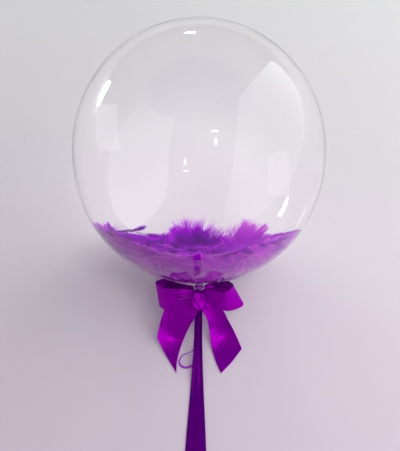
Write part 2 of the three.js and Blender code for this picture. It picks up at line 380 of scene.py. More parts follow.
# ---- the curling ribbon's free end: a flat strip, 5 mm wide ----
CURL_W = 5.0
CURL_Z = 3.1
CURL_WAY = [P(-2, -278.5, -TIE_OUTER - 0.3), P(-2.5, -280, -18), P(-4, -287, -29), P(-6, -301, -41),
            P(-7, -318, -51), P(-6.5, -334, -56.5)] + [
    np.array([x, y, CURL_Z + (up[0] if up else 0)]) / 1000
    for x, y, *up in [(-6, -236, 1.4), (-5.5, -250, 0.2), (-5, -268), (-4, -288), (-7, -306), (-18, -316.5),
                      (-30, -321.5), (-38, -329.5), (-40.5, -340), (-36.5, -348.5), (-27.5, -351.5), (-17, -349),
                      (-5, -342), (4, -332)]
]
curl_way = Way(CURL_WAY)


def curl_strip():
    n = 260
    s = np.linspace(0, 1, n)
    c = curl_way.even(s)
    t = unit(np.gradient(c, axis=0))
    side = np.array([1.0, 0, 0])
    across = []
    for k in range(n):
        # it leaves the tie flat, and turns on edge as it comes round the curl
        flat = unit(side - t[k] * (side @ t[k]))
        side = flat
        across.append(flat)
    across = np.array(across)
    up = np.cross(across, t)
    up *= np.where(up[:, 2:3] < 0, -1, 1)
    turn = (0.15 + 0.75 * smooth(0.42, 0.62, s) - 0.55 * smooth(0.88, 1.0, s))[:, None]
    d = unit(across * np.cos(turn) + up * np.sin(turn))
    w = np.linspace(-0.5, 0.5, 7)
    nrm = unit(np.cross(d, t))
    cup = (np.abs(w) * 2) ** 2 * 0.35
    g = c[:, None, :] + (d[:, None, :] * w[None, :, None] * CURL_W + nrm[:, None, :] * cup[None, :, None]) / 1000
    g[..., 2] = np.maximum(g[..., 2], 0.0005)
    uv = np.stack(np.broadcast_arrays((w[None, :] + 0.5) * CURL_W / 1000, (s * curl_way.length)[:, None]), -1)
    return cloth(g, 0.00022, uv), c


(strip, curl_path) = curl_strip()
curl = build("curling_ribbon_strip", [strip], curl_mat, "curling_ribbon")
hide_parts("curling_ribbon")


# ---- the film ----
def outline(n_body):
    """(v, distance from the axis) from the crown to the neck's end, as the CAD balloon's."""
    last = math.radians(168)
    rows = []
    for a in np.linspace(0, last, n_body):
        if a <= math.pi / 2:
            rows.append((BUBBLE_UP * math.cos(a), BUBBLE_R * math.sin(a)))
        else:
            rows.append((-BUBBLE_DOWN * (-math.cos(a)) ** FULL, BUBBLE_R * math.sin(a) ** FULL))
    v0, r0 = rows[-1]
    for t in np.linspace(0, 1, 33)[1:]:
        rows.append((v0 + (NECK_TOP - v0) * t**1.6, NECK_R + (r0 - NECK_R) * (1 - t) ** 1.6))
    return np.array(rows)


ring = outline(150)
shell_polar = np.arctan2(ring[:, 1], ring[:, 0])
shell_reach = np.hypot(ring[:, 0], ring[:, 1])


def reach(theta):
    """Distance from the balloon's centre to its film, at an angle from the crown."""
    return np.interp(theta, shell_polar, shell_reach)


def film_parts():
    cols = 240
    phi = np.linspace(0, 2 * math.pi, cols, endpoint=False)
    pr = np.random.default_rng(5)
    # gathers at the neck: a dozen main folds with finer, uneven ones between them
    warp = phi + 0.10 * np.sin(2 * phi + 0.7) + 0.07 * np.sin(5 * phi + 2.1)
    folds = 0.62 * np.cos(12 * warp + 0.4) + 0.34 * np.cos(23 * warp + pr.uniform(0, 6)) + 0.20 * np.cos(37 * warp + pr.uniform(0, 6))
    folds = np.where(folds > 0, folds**1.0, folds * 0.8)
    rows = outline(170)
    v, rho = rows[:, 0], rows[:, 1]
    depth = 0.085 * (1 - smooth(-262, -222, v)) * smooth(NECK_TOP - 1, -262, v) + 0.05 * (1 - smooth(-274, -268, v))
    faint = 0.0016 * (1 - smooth(-215, -60, v)) * (v < 0)
    r = rho[:, None] * (1 + depth[:, None] * folds[None, :] + faint[:, None] * np.cos(12 * warp + 0.4)[None, :])
    r[0] = 0
    vv = np.repeat(v[:, None], cols, 1)
    # the neck below the tie, gathered, with a ragged end inside the knot
    stub_v = np.array([-276.5, -278.5, -280.5, -282.0, -282.8, NECK_END])
    stub_r = np.array([6.9, 6.9, 6.7, 6.4, 5.6, 0.0])
    q = stub_r[:, None] * (1 + 0.10 * folds[None, :])
    r = np.concatenate([r, q])
    vv = np.concatenate([vv, np.repeat(stub_v[:, None], cols, 1)])
    s = P(r * np.sin(phi)[None, :], vv, r * np.cos(phi)[None, :])
    s[..., 2] = over_floor(s[..., 2], 0.0003, 0.0016)
    faces = grid(len(s), cols, wrap=True, flip=False)
    # inner surface, down to where the neck is tied
    m = len(rows)
    a = np.gradient(s[:m], axis=0)
    b = (np.roll(s[:m], -1, axis=1) - np.roll(s[:m], 1, axis=1)) / 2
    n = unit(np.cross(a, b))
    out = unit(s[:m] - P(0, 0, 0))
    n *= np.sign((n * out).sum(-1, keepdims=True))
    n[0] = P(0, 1, 0) - P(0, 0, 0)
    n[0] = unit(n[0])
    inner = s[:m] - n * FILM_THICK / 1000
    return s, inner, cols, m


outer, inner, COLS, ROWS = film_parts()


def lathe(s, cols, flip):
    """A closed surface of rows of cols points: its first and last rows are single points."""
    rows = len(s)
    body = s[1:-1].reshape(-1, 3)
    first, last = s[0].mean(0), s[-1].mean(0)
    v = np.concatenate([body, [first, last]])
    f = [tuple(q) for q in grid(rows - 2, cols, wrap=True, flip=flip)]
    a, b = len(body), len(body) + 1
    for j in range(cols):
        k = (j + 1) % cols
        top = (a, k, j)
        low = (b, (rows - 3) * cols + j, (rows - 3) * cols + k)
        f.append(top if not flip else top[::-1])
        f.append(low if not flip else low[::-1])
    uv = np.zeros((len(v), 2))
    g = np.arange(len(body))
    uv[: len(body), 0] = (g % cols) / cols
    uv[: len(body), 1] = (g // cols) / rows
    return v, f, uv


def faces_out(v, f):
    """True if a closed mesh's faces point out."""
    vol = 0.0
    v = np.asarray(v)
    for q in f:
        for k in range(1, len(q) - 1):
            vol += np.dot(v[q[0]], np.cross(v[q[k]], v[q[k + 1]]))
    return vol > 0


outer_part = lathe(outer, COLS, False)
if not faces_out(outer_part[0], outer_part[1]):
    outer_part = lathe(outer, COLS, True)
inner_end = np.concatenate([inner, np.repeat(P(0, NECK_TOP - 0.4, 0)[None, None, :], COLS, 1)])
inner_part = lathe(inner_end, COLS, True)
if faces_out(inner_part[0], inner_part[1]):
    inner_part = lathe(inner_end, COLS, False)
film = build("clear_film", [outer_part, inner_part], film_mat, "film")
film.visible_shadow = False
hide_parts("balloon")


# ---- feathers ----
def ball(p):
    """(angle from the crown, distance from the centre) of points in the balloon's own frame."""
    return np.arctan2(np.hypot(p[..., 0], p[..., 2]), p[..., 1]), np.linalg.norm(p, axis=-1)


def direction(theta, phi):
    """theta from the crown, phi round the axis from the viewer's side to the right."""
    return np.stack([np.sin(theta) * np.sin(phi), np.cos(theta) + 0 * phi, np.sin(theta) * np.cos(phi)], -1)


EDGE = [(-180, 141.2), (-161, 140.8), (-149, 138.9), (-142, 137.9), (-130, 136.0), (-121, 134.5), (-112, 131.5), (-90, 126.5),
        (-65, 122.9), (-56, 123.3), (-47, 125.6), (-40, 128.4), (-32, 131.0), (-23, 132.8), (-14, 134.0), (-5, 135.0), (3.5, 135.4),
        (12, 134.6), (26, 131.4), (35, 128.8), (47, 127.0), (59, 126.2), (75, 126.8), (90, 129.0), (112, 136.0), (130, 140.0),
        (172, 141.3), (180, 141.2)]


def edge_of(phi):
    """The pile's upper edge on the film, as an angle from the crown: higher at the sides."""
    phi = (np.asarray(phi, float) + math.pi) % (2 * math.pi) - math.pi
    return np.radians(np.interp(np.degrees(phi), [a for a, _ in EDGE], [b for _, b in EDGE]))


def keep_in(p, gap=0.9):
    """Points pushed back inside the film, in millimetres of the balloon's own frame."""
    th, r = ball(p)
    most = reach(th) - gap
    p = p * np.minimum(1, most / np.maximum(r, 1e-6))[..., None]
    z = CENTRE_Z + SIN * p[..., 1] + COS * p[..., 2]
    low = np.maximum(0, 2.2 - z)
    p[..., 1] += low * SIN
    p[..., 2] += low * COS
    return p


def feather(start, heading, up, length, width, bend, r, depth=8.0, press=False, droop=0.0, downy=0.3, barbs=46, lift=0.10,
            fine=False, one_side=0.0, tone=None, cap=True):
    """One feather: a tapering shaft with a row of separate barbs on each side.

    start, heading and up are in the balloon's own frame. press lays it flat on the film at that depth."""
    n = 16
    q = np.array(start, float)
    pts = [q]
    t, nrm = unit(np.array(heading, float)), unit(np.array(up, float))
    step, turn = length / (n - 1), bend / (n - 1)
    for k in range(n - 1):
        side = unit(np.cross(nrm, t))
        t = unit(t * math.cos(turn) + side * math.sin(turn) - nrm * droop / (n - 1))
        nxt = q + t * step
        if press:
            th, rad = ball(nxt)
            nxt = nxt * (float(reach(th)) - depth) / rad
            nrm = -unit(nxt)
            t = unit(nxt - q)
        q = nxt
        pts.append(q)
    pts = np.array(pts)
    tan = unit(np.gradient(pts, axis=0))
    nrms = -unit(pts) if press else np.repeat(nrm[None, :], n, 0)
    nrms = unit(nrms - tan * (nrms * tan).sum(1, keepdims=True))
    s = np.linspace(0, 1, n)
    tone = r.uniform(0, 1) if tone is None else tone
    parts = []
    rad = 0.62 * (1 - s) ** 0.7 + 0.10
    side = unit(np.cross(nrms, tan))
    a = np.arange(5) / 5 * 2 * math.pi
    tube = pts[:, None, :] + rad[:, None, None] * (side[:, None, :] * np.cos(a)[None, :, None] + nrms[:, None, :] * np.sin(a)[None, :, None])
    parts.append((tube, grid(n, 5, wrap=True), np.stack(np.broadcast_arrays(np.full((1, 5), 0.35), np.full((n, 1), tone)), -1)))
    m = barbs
    at = np.linspace(0.05, 0.995, m)
    clump = np.interp(at, np.linspace(0, 1, 10), r.normal(0, 0.10, 10))
    for sign in (-1, 1):
        size = 1.0 - one_side * sign
        if size < 0.15:
            continue
        jitter = r.normal(0, 0.03, m) + clump + np.interp(at, np.linspace(0, 1, 8), r.normal(0, 0.10, 8))
        loose = np.clip((downy - at) / max(downy, 1e-3), 0, 1) if downy < 1 else np.full(m, 0.75)
        shape = np.sin(np.pi * np.clip(at * 0.97, 0, 1) ** 0.66) ** 0.6
        ln = width / 2 * size * (0.30 + 0.78 * shape) * r.uniform(0.90, 1.06, m) * (1 + 0.25 * loose)
        ang = (1.02 - 0.60 * at) + jitter + loose * r.normal(0.12, 0.28, m)
        base = np.stack([np.interp(at, s, pts[:, k]) for k in range(3)], -1)
        t = unit(np.stack([np.interp(at, s, tan[:, k]) for k in range(3)], -1))
        nn = unit(np.stack([np.interp(at, s, nrms[:, k]) for k in range(3)], -1))
        sd = unit(np.cross(nn, t)) * sign
        q = np.linspace(0, 1, 6)
        high = (r.normal(lift, lift * 0.7 + 0.02, m) + loose * r.normal(0.05, 0.30, m)) * (0.25 if press else 1)
        curve = 0.30 + loose * r.normal(0, 0.45, m)
        # each barb sets off sideways and bends towards the feather's tip
        ca, sa = np.cos(ang)[:, None], np.sin(ang)[:, None]
        along = q[None, :] * ca + curve[:, None] * q[None, :] ** 2 * 0.5
        out = q[None, :] * sa - 0.12 * q[None, :] ** 2
        rise = high[:, None] * q[None, :] ** 1.5
        line = base[:, None, :] + ln[:, None, None] * (along[..., None] * t[:, None, :] + out[..., None] * sd[:, None, :] + rise[..., None] * nn[:, None, :])
        if fine:
            half = np.full((m, 1), 0.34) * (1 - 0.62 * q[None, :])
        else:
            half = (length / m * 0.62) * (1 - 0.70 * loose[:, None]) * (1 - 0.55 * q[None, :] ** 2.2) + 0.05
        wide = unit(t[:, None, :] * np.sin(ang)[:, None, None] - sd[:, None, :] * np.cos(ang)[:, None, None] + 0.18 * nn[:, None, :])
        g = np.stack([line + wide * half[..., None], line - wide * half[..., None]], 2)
        if press:
            th, rr = ball(g)
            g = g * ((reach(th) - depth - rise[..., None] * ln[:, None, None]) / rr)[..., None]
        k = len(q)
        u = np.broadcast_to((0.10 + 0.90 * q[None, :, None] * (0.55 + 0.45 * at[:, None, None])), g.shape[:3])
        w = np.broadcast_to(0.72 * tone + 0.28 * r.uniform(0, 1, (m, 1, 1)), g.shape[:3])
        idx = np.arange(m)[:, None] * 2 * k + np.arange(k - 1)[None, :] * 2
        f = np.stack([idx, idx + 1, idx + 3, idx + 2], -1).reshape(-1, 4)
        parts.append((g, f, np.stack([u, w], -1)))
    out = []
    for g, f, uv_ in parts:
        g = g.reshape(-1, 3)
        if press and cap:
            # the pile stops at its edge: what would stand over it is tucked under
            th, rr = ball(g)
            phi = np.arctan2(g[:, 0], g[:, 2])
            e = edge_of(phi) + 0.004 * np.sin(phi * 61) + 0.003 * np.sin(phi * 143 + 1)
            over = th < e
            d = direction(np.where(over, e + (e - th) * 0.15, th), phi)
            g = np.where(over[:, None], d * (reach(np.where(over, e, th)) - depth)[:, None], g)
        out.append((keep_in(g), f, uv_.reshape(-1, 2)))
    return out


def place_parts(parts):
    return [(P(v[:, 0], v[:, 1], v[:, 2]), f, uv) for v, f, uv in parts]


fr = np.random.default_rng(77)
groups = {"deep": [], "mid": [], "light": [], "pale": []}


def pick(weights):
    names = list(weights)
    w = np.array([weights[n] for n in names], float)
    return names[int(fr.choice(len(names), p=w / w.sum()))]


def top_of(rad, phi):
    """Height of the heap's top in the balloon's own frame."""
    e = edge_of(phi)
    rim = direction(e, phi) * np.asarray(reach(e))[..., None]
    share = rad / np.maximum(np.hypot(rim[..., 0], rim[..., 2]), 1)
    low = -196.0
    return low + (rim[..., 1] - low) * np.clip(share, 0, 1.05) ** 2.6


# the bed: the packed down under the loose feathers
def bed_part():
    cols = 180
    phi = np.linspace(0, 2 * math.pi, cols, endpoint=False)
    e = edge_of(phi)
    br = np.random.default_rng(3)
    waves = [(br.integers(3, 26), br.uniform(0, 6.28), br.uniform(3, 30)) for _ in range(14)]
    rows, tones = [], []
    for x in np.linspace(0, 1, 44):
        th = math.radians(176.5) + (e + 0.012 - math.radians(176.5)) * x
        bump = sum(math.sin(x * c + b) * np.sin(a * phi + b + 3 * x) for a, b, c in waves) * 0.28
        d = direction(th, phi)
        rows.append(d * (reach(th) - 6.5 - bump)[:, None])
        tones.append(1.0)
    for x in np.linspace(0.95, 0.0, 30):
        rim = direction(e, phi) * reach(e)[:, None]
        rr = np.hypot(rim[:, 0], rim[:, 2]) * x
        bump = sum(math.sin(x * c + b) * np.sin(a * phi + b + 3 * x) for a, b, c in waves) * 0.9 * x
        rows.append(np.stack([rr * np.sin(phi), top_of(rr, phi) - 9 + bump, rr * np.cos(phi)], -1))
        tones.append(0.0)
    g = np.array(rows)
    g = keep_in(g.reshape(-1, 3), 5.0).reshape(g.shape)
    w = P(g[..., 0], g[..., 1], g[..., 2])
    v, f, uv = lathe(w, cols, False)
    if not faces_out(v, f):
        v, f, uv = lathe(w, cols, True)
    t = np.concatenate([np.repeat(tones[1:-1], cols), [tones[0], tones[-1]]])
    return v, f, np.stack([t, 0.6 + 0 * t], -1)


# pressed flat on the film, from the neck up to the pile's edge
for k in range(190):
    phi = fr.uniform(0, 2 * math.pi)
    e = float(edge_of(phi))
    x = fr.uniform(0, 1) ** 0.7
    th = math.radians(172) - (math.radians(172) - e - 0.02) * x
    d = direction(np.array(th), np.array(phi))
    round_ = np.array([math.cos(phi), 0, -math.sin(phi)])
    upward = np.cross(round_, d)
    upward = unit(upward) * (1 if upward[1] > 0 else -1)
    a = fr.uniform(0, 2 * math.pi) if x < 0.7 else fr.choice([-1, 1]) * fr.uniform(0.9, 1.75)
    heading = upward * math.cos(a) + round_ * math.sin(a)
    length = fr.uniform(62, 108)
    depth = fr.uniform(1.6, 6.0)
    start = d * float(reach(th)) - heading * length * 0.5
    th0, r0 = ball(start)
    start = start * (float(reach(th0)) - depth) / r0
    which = pick({"pale": 3, "light": 3, "mid": 0.8})
    groups[which] += feather(start, heading, -d, length, fr.uniform(36, 54), fr.normal(0, 0.4), fr, depth=depth, press=True,
                             downy=0.35, barbs=42, lift=0.03)

# heaped loosely on top
for k in range(210):
    phi = fr.uniform(0, 2 * math.pi)
    e = float(edge_of(phi))
    rim = direction(np.array(e), np.array(phi)) * float(reach(e))
    rad = math.hypot(rim[0], rim[2]) * 0.95 * math.sqrt(fr.uniform(0, 1))
    length = fr.uniform(42, 80)
    a = fr.uniform(0, 2 * math.pi)
    flat = np.array([math.sin(a), 0, math.cos(a)])
    mid = np.array([rad * math.sin(phi), 0, rad * math.cos(phi)])
    ends = []
    for sgn in (-0.5, 0.5):
        p = mid + flat * length * sgn
        rp, pp = math.hypot(p[0], p[2]), math.atan2(p[0], p[2])
        p[1] = float(top_of(np.array(rp), np.array(pp)))
        ends.append(p)
    off = fr.uniform(-6, 5)
    start = ends[0] + np.array([0, off, 0])
    heading = unit(ends[1] - ends[0] + np.array([0, fr.normal(0, 4), 0]))
    up = unit(np.cross(np.cross(heading, (0, 1, 0)), heading) + fr.normal(0, 0.25, 3))
    which = pick({"deep": 4.2, "mid": 3.2, "light": 0.5})
    groups[which] += feather(start, heading, up, length, fr.uniform(22, 36), fr.normal(0, 0.7), fr, droop=fr.normal(0.25, 0.35),
                             downy=0.4, barbs=38, lift=0.14)

# The feathers' tones differ, and their order here, deep on the left and light and pale on the right, is painted shade
# and painted light from the lamps at the right.
HERO = [
    # start, heading, up, length, width, bend, droop, tone group, more
    ((-112, -196, 40), (-0.90, 0.36, 0.05), (0.3, 0.35, 0.9), 84, 30, -0.12, 0.0, "deep", {}),
    ((-92, -198, -10), (-0.92, 0.26, -0.05), (0.3, 0.35, 0.9), 84, 32, -0.10, 0.0, "deep", {}),
    ((-66, -200, -60), (-0.90, 0.20, -0.15), (0.3, 0.9, 0.3), 84, 34, 0.25, -0.10, "mid", {}),
    ((-30, -200, -70), (-0.92, 0.12, 0.05), (0.1, 0.95, 0.3), 70, 34, -0.3, 0.2, "deep", {}),
    ((100, -197, 30), (0.92, 0.32, 0.05), (-0.3, 0.35, 0.9), 80, 30, 0.10, 0.0, "mid", {}),
    ((88, -199, -20), (0.93, 0.24, -0.10), (-0.3, 0.35, 0.9), 80, 32, 0.08, 0.0, "light", {}),
    # the soft tuft in the middle
    ((-20, -204, -14), (-0.08, 0.98, 0.10), (0.10, 0.0, 1.0), 44, 62, 0.30, 0.0, "mid", {"fine": 1, "downy": 1.0, "barbs": 150}),
    ((-8, -204, 0), (0.22, 0.95, 0.10), (0.0, 0.1, 1.0), 42, 64, -0.30, 0.0, "mid", {"fine": 1, "downy": 1.0, "barbs": 150}),
    ((-26, -204, 8), (-0.30, 0.93, 0.10), (0.1, 0.2, 1.0), 38, 54, 0.40, 0.0, "mid", {"fine": 1, "downy": 1.0, "barbs": 140}),
    ((-30, -205, 4), (-0.20, 0.93, 0.05), (0.1, 0.2, 1.0), 50, 34, 0.50, 0.0, "deep", {"downy": 0.6}),
    ((-12, -205, -8), (0.05, 0.98, 0.05), (0.0, 0.2, 1.0), 46, 32, -0.30, 0.0, "deep", {"downy": 0.6}),
    ((6, -204, 6), (0.55, 0.78, 0.05), (0.0, 0.2, 1.0), 44, 50, -0.50, 0.0, "mid", {"fine": 1, "downy": 1.0, "barbs": 120}),
    # a broad one on its side at the right
    ((36, -202, 26), (0.955, 0.28, 0.05), (-0.05, 0.25, 1.0), 92, 92, 0.10, 0.0, "light", {"barbs": 96, "one_side": -0.12, "downy": 0.25, "lift": 0.05}),
    ((44, -200, 14), (0.93, 0.36, 0.0), (-0.05, 0.3, 1.0), 78, 74, 0.15, 0.0, "pale", {"barbs": 80, "downy": 0.3, "lift": 0.05}),
    ((60, -202, 4), (0.72, 0.66, 0.05), (-0.1, 0.2, 1.0), 58, 52, 0.3, 0.0, "light", {"fine": 1, "downy": 1.0, "barbs": 130}),
]
for s, h, u, ln, wd, bd, dr, group, more in HERO:
    settings = {"barbs": 56, "downy": 0.3, **more}
    groups[group] += feather(s, h, u, ln, wd, bd, fr, droop=dr, **settings)

TONES = {
    "deep": ((0.24, 0.0, 0.46), (0.42, 0.0, 0.68), (0.60, 0.0, 0.86)),
    "mid": ((0.42, 0.0, 0.68), (0.68, 0.0, 0.92), (0.84, 0.01, 0.98)),
    "light": ((0.62, 0.01, 0.86), (0.86, 0.06, 0.97), (0.96, 0.24, 1.0)),
    "pale": ((0.72, 0.06, 0.90), (0.90, 0.18, 0.98), (0.97, 0.36, 1.0)),
}
for tone, parts in groups.items():
    made = build("feathers_" + tone, place_parts(parts), feather_material("feathers_" + tone, *TONES[tone]), "feathers")
    print(made.name, sum(len(p.vertices) - 2 for p in made.data.polygons))
build("feathers_bed", [bed_part()], feather_material("feathers_bed", (0.34, 0.0, 0.58), (0.60, 0.01, 0.86), (0.88, 0.14, 0.98)), "feathers")


# ---- satin: the bow ----
LEFT_LOOP = [((-10, -283, 12), (-10, -300, 8)), ((-42, -279, 22), (-44, -304, 8)), ((-71, -276, 25), (-68, -326, 1)),
             ((-88, -266, 14), (-82, -317, -13)), ((-73, -262, 0), (-68, -308, -25)), ((-42, -271, -6), (-42, -303, -20)),
             ((-10, -278, -2), (-10, -300, -7))]
RIGHT_LOOP = [((7, -285, 12), (8, -304, 8)), ((30, -283, 23), (33, -319, 8)), ((54, -284, 28), (60, -328, 2)),
              ((69, -272, 14), (91, -318, -12)), ((57, -265, 2), (81, -306, -24)), ((31, -268, -6), (45, -305, -24)),
              ((7, -277, -2), (8, -300, -7))]
LEFT_TAIL = [((-12, -300, 7), (0, -312, 4)), ((-46, -306, 3), (-3, -328, 2)), ((-67, -320, -2), (-8, -342, -4)),
             ((-77, -345, -5), (-20, -365, -12)), ((-83, -370, -10), (-31, -390, -15)), ((-86, -390, -8), (-40, -413, -2.7)),
             ((-85, -416, 6.5), (-45, -432, 11.2)), ((-80, -440, 21), (-46, -452, 26.8))]
RIGHT_TAIL = [((-3, -310, 5), (8, -302, 7)), ((3, -322, 4), (34, -309, 6)), ((9, -332, 1), (50, -328, 0)),
              ((17, -350, -5), (60, -349, -6)), ((21.5, -376, -15), (73, -376, -17)), ((26, -406, -6.5), (86, -404, -7)),
              ((35.5, -434, 13), (95, -427, 11)), ((45, -452, 27), (104, -446, 23.5))]
SATIN_T = 0.35  # thickness, mm


def ribbon(stations, rows, cols, cup=0.0, ends=(1, 1), pleats=None, extra=None):
    """Grid of a ribbon between its two edges, in the balloon's own frame, mm."""
    a, b = Way([s[0] for s in stations]), Way([s[1] for s in stations])
    s, t = np.linspace(0, 1, rows), np.linspace(0, 1, cols)
    g = np.zeros((rows, cols, 3))
    for j, x in enumerate(t):
        at = s * (ends[0] + (ends[1] - ends[0]) * x)
        p, q = a.at(at), b.at(at)
        ahead = a.at(np.minimum(1, at + 0.02)) + b.at(np.minimum(1, at + 0.02)) - a.at(np.maximum(0, at - 0.02)) - b.at(np.maximum(0, at - 0.02))
        n = unit(np.cross(unit(q - p), ahead))
        bulge = cup * np.sin(np.pi * at) * (1 - (2 * x - 1) ** 2)
        if pleats:
            bulge = bulge + pleats(at, x)
        m = p + (q - p) * x + n * bulge[:, None]
        if extra:
            m = m + extra(at, x)[:, None] * n
        g[:, j] = m
    return g


def satin_part(g, low=0.6):
    """g in mm of the balloon's own frame, to a closed thin sheet."""
    w = P(g[..., 0], g[..., 1], g[..., 2])
    w[..., 2] = over_floor(w[..., 2], low / 1000, 0.0008)
    step = np.linalg.norm(np.diff(w, axis=0), axis=-1).mean(1)
    length = np.concatenate([[0], np.cumsum(step)])
    x = np.linspace(0, 0.06, w.shape[1])
    uv = np.stack(np.broadcast_arrays(x[None, :], length[:, None]), -1)
    return cloth(w, SATIN_T / 1000, uv)


def gather(n, amp, decay, phase, both=False):
    def f(at, x):
        fall = np.exp(-((at / decay) ** 1.4))
        if both:
            fall = fall + np.exp(-(((1 - at) / decay) ** 1.4))
        return amp * fall * np.sin(2 * math.pi * (n * x + 0.35 * at / decay) + phase) * (0.6 + 0.4 * math.sin(math.pi * x))

    return f


def clear_of_tie(g):
    rho = np.hypot(g[..., 0], g[..., 2])
    need = np.where(g[..., 1] > -283.5, 11.4, 0.0)
    k = np.maximum(1, need / np.maximum(rho, 1e-6))
    g[..., 0] *= k
    g[..., 2] *= k
    return g


left_loop = clear_of_tie(ribbon(LEFT_LOOP, 150, 41, pleats=gather(3.2, 2.6, 0.13, 0.6, True)))
right_loop = clear_of_tie(ribbon(RIGHT_LOOP, 150, 41, pleats=gather(2.8, 2.6, 0.13, 2.4, True)))
left_tail = ribbon(LEFT_TAIL, 110, 41, cup=5, ends=(0.7, 1), pleats=gather(2.6, 1.8, 0.16, 1.0))
right_tail = ribbon(RIGHT_TAIL, 110, 41, cup=5, ends=(1, 0.74), pleats=gather(2.4, 1.8, 0.16, 3.0))


def knot_part():
    """The middle of the bow: the ribbon wrapped tight round it, in crushed upright folds."""
    rows, cols = 60, 120
    el = np.linspace(-math.pi / 2, math.pi / 2, rows)
    az = np.linspace(0, 2 * math.pi, cols, endpoint=False)
    E, A = np.meshgrid(el, az, indexing="ij")
    x, y, z = np.cos(E) * np.sin(A), np.sin(E), np.cos(E) * np.cos(A)
    q = (np.abs(x) ** 3 + np.abs(y) ** 3 + np.abs(z) ** 3) ** (-1 / 3)
    drift = 0.55 * y + 0.25 * np.sin(2.3 * y + 1.0)
    ang = A + drift
    fold = 0.070 * np.sin(7 * ang + 0.6) + 0.045 * np.sin(11 * ang + 2.2 + 0.8 * y) + 0.03 * np.sin(17 * ang + 1.1)
    fold = fold * (1 - y**6) + 0.03 * np.sin(5 * y * 2 + 2 * A)
    pinch = 1 - 0.10 * np.exp(-((y / 0.45) ** 2))
    k = q * (1 + fold) * pinch
    g = np.stack([-2 + x * k * 15, -305.5 + y * q * 21.6, 4 + z * k * 13], -1)
    w = P(g[..., 0], g[..., 1], g[..., 2])
    v, f, uv = lathe(w, cols, False)
    if not faces_out(v, f):
        v, f, uv = lathe(w, cols, True)
    uv = np.stack([uv[:, 0] * 0.16 % 0.05 + 0.005, uv[:, 1] * 0.05], -1)
    return v, f, uv


bow = build("satin_bow_ribbon", [satin_part(left_loop), satin_part(right_loop), satin_part(left_tail), satin_part(right_tail)], satin_mat, "satin")
knot = build("bow_knot", [knot_part()], satin_mat, "satin")
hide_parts("satin_bow")

# ---- satin: the long ribbon, from under the knot to the floor and along it ----
knot_foot = P(0, -329, -7) * 1000
STREAMER_END, STREAMER_CUT = -652.0, 26.0
LONG_WAY = [(knot_foot[1], knot_foot[2]), (-254, 42), (-272, 31), (-296, 21.5), (-320, 14.8), (-345, 9.4), (-368, 5), (-388, 2.2),
            (-410, 1.3), (-470, 1.3), (-560, 1.3), (STREAMER_END, 1.3)]
long_way = Way([(0, y, z) for y, z in LONG_WAY])


def long_ribbon():
    rows, cols = 260, 61
    s, t = np.linspace(0, 1, rows), np.linspace(0, 1, cols)
    g = np.zeros((rows, cols, 3))
    for j, x in enumerate(t):
        c = long_way.even(s * (1 - STREAMER_CUT / 400 * (1 - x)))
        run = (knot_foot[1] - c[:, 1]) / (knot_foot[1] - STREAMER_END)
        width = 16 + 31 * smooth(0, 0.95, run)
        mid = -1 - 8 * run
        z = np.where(run > 0.45, 1.3, np.maximum(c[:, 2], 1.3))
        # gathered under the knot, opening out into soft lengthwise folds
        fold = 2.2 * (1 - smooth(0.0, 0.55, run)) * np.sin(2 * math.pi * (2.2 * x + 0.1 * run) + 0.7)
        calm = 0.5 * np.sin(math.pi * x) * (1 + np.sin(9 * run + 2 * x)) * (1 - smooth(0.8, 1.0, run) * 0.5)
        g[:, j, 0] = mid + width * (x - 0.5)
        g[:, j, 1] = c[:, 1]
        g[:, j, 2] = z + fold + calm
    w = g / 1000
    w[..., 2] = over_floor(w[..., 2], 0.0007, 0.0006)
    step = np.linalg.norm(np.diff(w, axis=0), axis=-1).mean(1)
    length = np.concatenate([[0], np.cumsum(step)])
    xx = np.linspace(0, 0.06, cols)
    uv = np.stack(np.broadcast_arrays(xx[None, :], length[:, None]), -1)
    return cloth(w, SATIN_T / 1000, uv), length[-1]


long_part, long_length = long_ribbon()
# the long ribbon wears the duller copy of the satin: painted shade
streamer = build("long_ribbon_satin", [long_part], satin_shaded, "satin")
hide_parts("long_ribbon")


# ---- the tie: curling ribbon wound three times round the neck, with a small bight left standing ----
def tie_parts():
    parts = []
    n = 220
    s = np.linspace(0, 1, n)
    a = s * 3.35 * 2 * math.pi + math.pi
    v = -276.4 - 4.2 * s + 0.5 * np.sin(a * 0.5)
    rad = 8.0 + 0.9 * s + 0.35 * np.sin(3 * a + 1)
    c = np.stack([rad * np.sin(a), v, rad * np.cos(a)], -1)
    w = np.linspace(-0.5, 0.5, 7)
    lean = 0.35 * np.sin(a * 0.7 + 0.4)
    axis = np.stack([np.sin(lean) * np.cos(a), np.cos(lean), -np.sin(lean) * np.sin(a)], -1)
    half = np.minimum(4.0, 4.0 + 0 * s)
    out = np.stack([np.sin(a), 0 * a, np.cos(a)], -1)
    g = c[:, None, :] + axis[:, None, :] * (w[None, :] * half[:, None])[..., None] * 0.72 + out[:, None, :] * (0.5 * np.cos(w * 6 * math.pi) * 0.35 + 0.3)[None, :, None]
    g[..., 1] = np.clip(g[..., 1], TIE_END - 1.0, TIE_TOP + 0.4)
    x = P(g[..., 0], g[..., 1], g[..., 2])
    uv = np.stack(np.broadcast_arrays((w[None, :] + 0.5) * 0.005, (s * 0.16)[:, None]), -1)
    parts.append(cloth(x, 0.00025, uv))
    # the bight on the right
    loop = Way([(7, -277, 7), (12, -273.5, 9), (17, -270.5, 8.5), (20, -272.5, 7), (18, -276.5, 6.5), (13, -279, 7.5), (8, -280.5, 8)])
    s = np.linspace(0, 1, 70)
    c = loop.even(s)
    t = unit(np.gradient(c, axis=0))
    d = unit(np.cross(t, np.array([0.25, 0.1, 1.0])))
    d = unit(np.array([0.1, 0.25, 1.0]) - t * (t @ np.array([0.1, 0.25, 1.0]))[:, None])
    g = c[:, None, :] + d[:, None, :] * (w * 4.0)[None, :, None]
    x = P(g[..., 0], g[..., 1], g[..., 2])
    uv = np.stack(np.broadcast_arrays((w[None, :] + 0.5) * 0.005, (s * 0.05)[:, None]), -1)
    parts.append(cloth(x, 0.00025, uv))
    return parts


